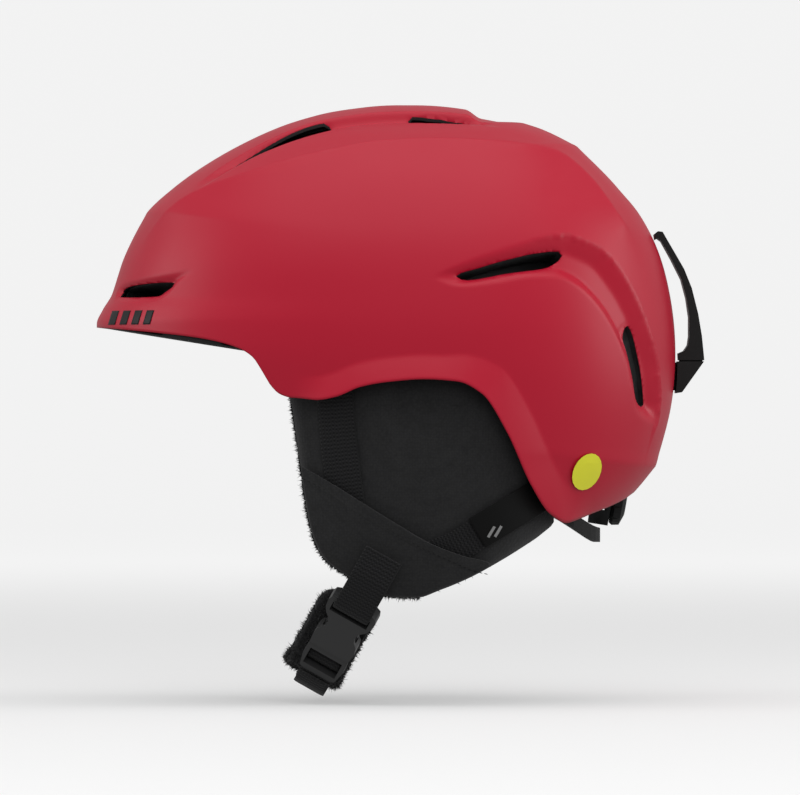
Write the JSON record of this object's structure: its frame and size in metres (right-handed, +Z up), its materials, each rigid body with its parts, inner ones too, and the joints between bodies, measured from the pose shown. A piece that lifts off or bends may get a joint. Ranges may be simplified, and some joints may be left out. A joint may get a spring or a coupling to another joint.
{
  "type": "ski helmet",
  "caption": "Hard-shell ski helmet with ear pads, vents, a goggle-strap retainer, a dial fit system and a webbing chin strap with a side-release buckle.",
  "frame": {"origin": "middle of the head's space, level with the wearer's brow", "axes": "+Z up, -Y the front of the helmet, +X the wearer's left"},
  "size_m": [0.207, 0.2881, 0.276],
  "materials": {
    "shell_red": "satin",
    "black_plastic": "moulded, fine texture",
    "foam_black": "moulded bead foam",
    "slip_plastic": "smooth",
    "badge_yellow": "smooth",
    "ear_fabric": "knitted",
    "fleece": "long pile",
    "webbing": "woven",
    "black_rubber": "matt"
  },
  "bodies": {
    "helmet": {"outer_shell": "shell_red", "foam_liner": "foam_black", "brim_trim": "black_plastic", "slip_stud_front_left": "black_rubber", "slip_stud_front_right": "black_rubber", "slip_stud_rear_left": "black_rubber", "slip_stud_rear_right": "black_rubber", "ear_pad_left": "ear_fabric", "ear_pad_right": "ear_fabric", "ear_fleece_left": "fleece", "ear_fleece_right": "fleece", "ear_flap_left": "ear_fabric", "ear_flap_right": "ear_fabric", "front_strap_left": "webbing", "front_strap_right": "webbing", "rear_strap_left": "webbing", "rear_strap_right": "webbing", "strap_divider_left": "black_plastic", "strap_divider_right": "black_plastic", "strap_sleeve_left": "black_rubber", "strap_sleeve_right": "black_rubber", "strap_anchor_front_left": "black_plastic", "strap_anchor_front_right": "black_plastic", "strap_anchor_rear_left": "black_plastic", "strap_anchor_rear_right": "black_plastic", "retainer_base": "black_plastic", "retainer_plug": "black_plastic", "round_badge": "badge_yellow", "height_rail": "black_plastic", "temple_band_left": "black_plastic", "temple_band_right": "black_plastic"},
    "slip": {"slip_layer": "slip_plastic", "brow_pad": "ear_fabric", "crown_pad": "ear_fabric", "side_pad_left": "ear_fabric", "side_pad_right": "ear_fabric"},
    "cradle": {"dial_housing": "black_plastic", "height_stem": "black_plastic", "nape_yoke": "black_plastic", "nape_pad": "ear_fabric", "cradle_band_left": "black_plastic", "cradle_band_right": "black_plastic"},
    "dial": {"fit_dial": "black_plastic", "dial_pinion": "black_plastic"},
    "rack_left": {"rack_left": "black_plastic"},
    "rack_right": {"rack_right": "black_plastic"},
    "retainer": {"retainer_arm": "black_plastic"},
    "strap_left": {"chin_web_left": "webbing", "buckle_socket": "black_plastic"},
    "strap_right": {"chin_web_right": "webbing", "chin_pad": "fleece"},
    "insert": {"buckle_insert": "black_plastic", "strap_tail": "webbing"},
    "prong_front": {"buckle_prong_front": "black_plastic"},
    "prong_rear": {"buckle_prong_rear": "black_plastic"}
  },
  "joints": [
    {"name": "slip_turn", "type": "hinge", "parent": "helmet", "child": "slip", "pos_m": [0, 0, 0], "axis": [0, 0, 1], "range_deg": [-2, 2], "stiffness_Nm_per_rad": 4},
    {"name": "cradle_height", "type": "slide", "parent": "helmet", "child": "cradle", "axis": [0, 0.1564, 0.9877], "range_m": [-0.008, 0.008]},
    {"name": "dial_turn", "type": "hinge", "parent": "cradle", "child": "dial", "pos_m": [0, 0.098, -0.082], "axis": [0, 0.9877, -0.1564], "range_deg": [-100, 100]},
    {"name": "rack_left_slide", "type": "slide", "parent": "cradle", "child": "rack_left", "axis": [1, 0, 0], "range_m": [-0.0087, 0.0087]},
    {"name": "rack_right_slide", "type": "slide", "parent": "cradle", "child": "rack_right", "axis": [-1, 0, 0], "range_m": [-0.0087, 0.0087]},
    {"name": "retainer_flex", "type": "hinge", "parent": "helmet", "child": "retainer", "pos_m": [0, 0.1399, -0.0194], "axis": [-1, 0, 0], "range_deg": [0, 35], "stiffness_Nm_per_rad": 0.5},
    {"name": "strap_left_swing", "type": "hinge", "parent": "helmet", "child": "strap_left", "pos_m": [0, -0.0131, -0.1118], "axis": [1, 0, 0], "range_deg": [-15, 35]},
    {"name": "strap_right_swing", "type": "hinge", "parent": "helmet", "child": "strap_right", "pos_m": [0, -0.0131, -0.1118], "axis": [1, 0, 0], "range_deg": [-15, 35]},
    {"name": "insert_slide", "type": "slide", "parent": "strap_left", "child": "insert", "axis": [-0.5664, -0.4058, -0.7173], "range_m": [0, 0.024]},
    {"name": "prong_front_pinch", "type": "hinge", "parent": "insert", "child": "prong_front", "pos_m": [0.06034, -0.0421, -0.15108], "axis": [-0.8241, 0.2789, 0.493], "range_deg": [0, 5], "stiffness_Nm_per_rad": 0.05},
    {"name": "prong_rear_pinch", "type": "hinge", "parent": "insert", "child": "prong_rear", "pos_m": [0.06034, -0.03183, -0.15689], "axis": [0.8241, -0.2789, -0.493], "range_deg": [0, 5], "stiffness_Nm_per_rad": 0.05}
  ],
  "couplings": [
    {"joint": "dial_turn", "follows": "rack_left_slide", "rad_per_m": 200},
    {"joint": "rack_right_slide", "follows": "rack_left_slide", "ratio": 1},
    {"joint": "strap_right_swing", "follows": "strap_left_swing", "ratio": 1}
  ]
}
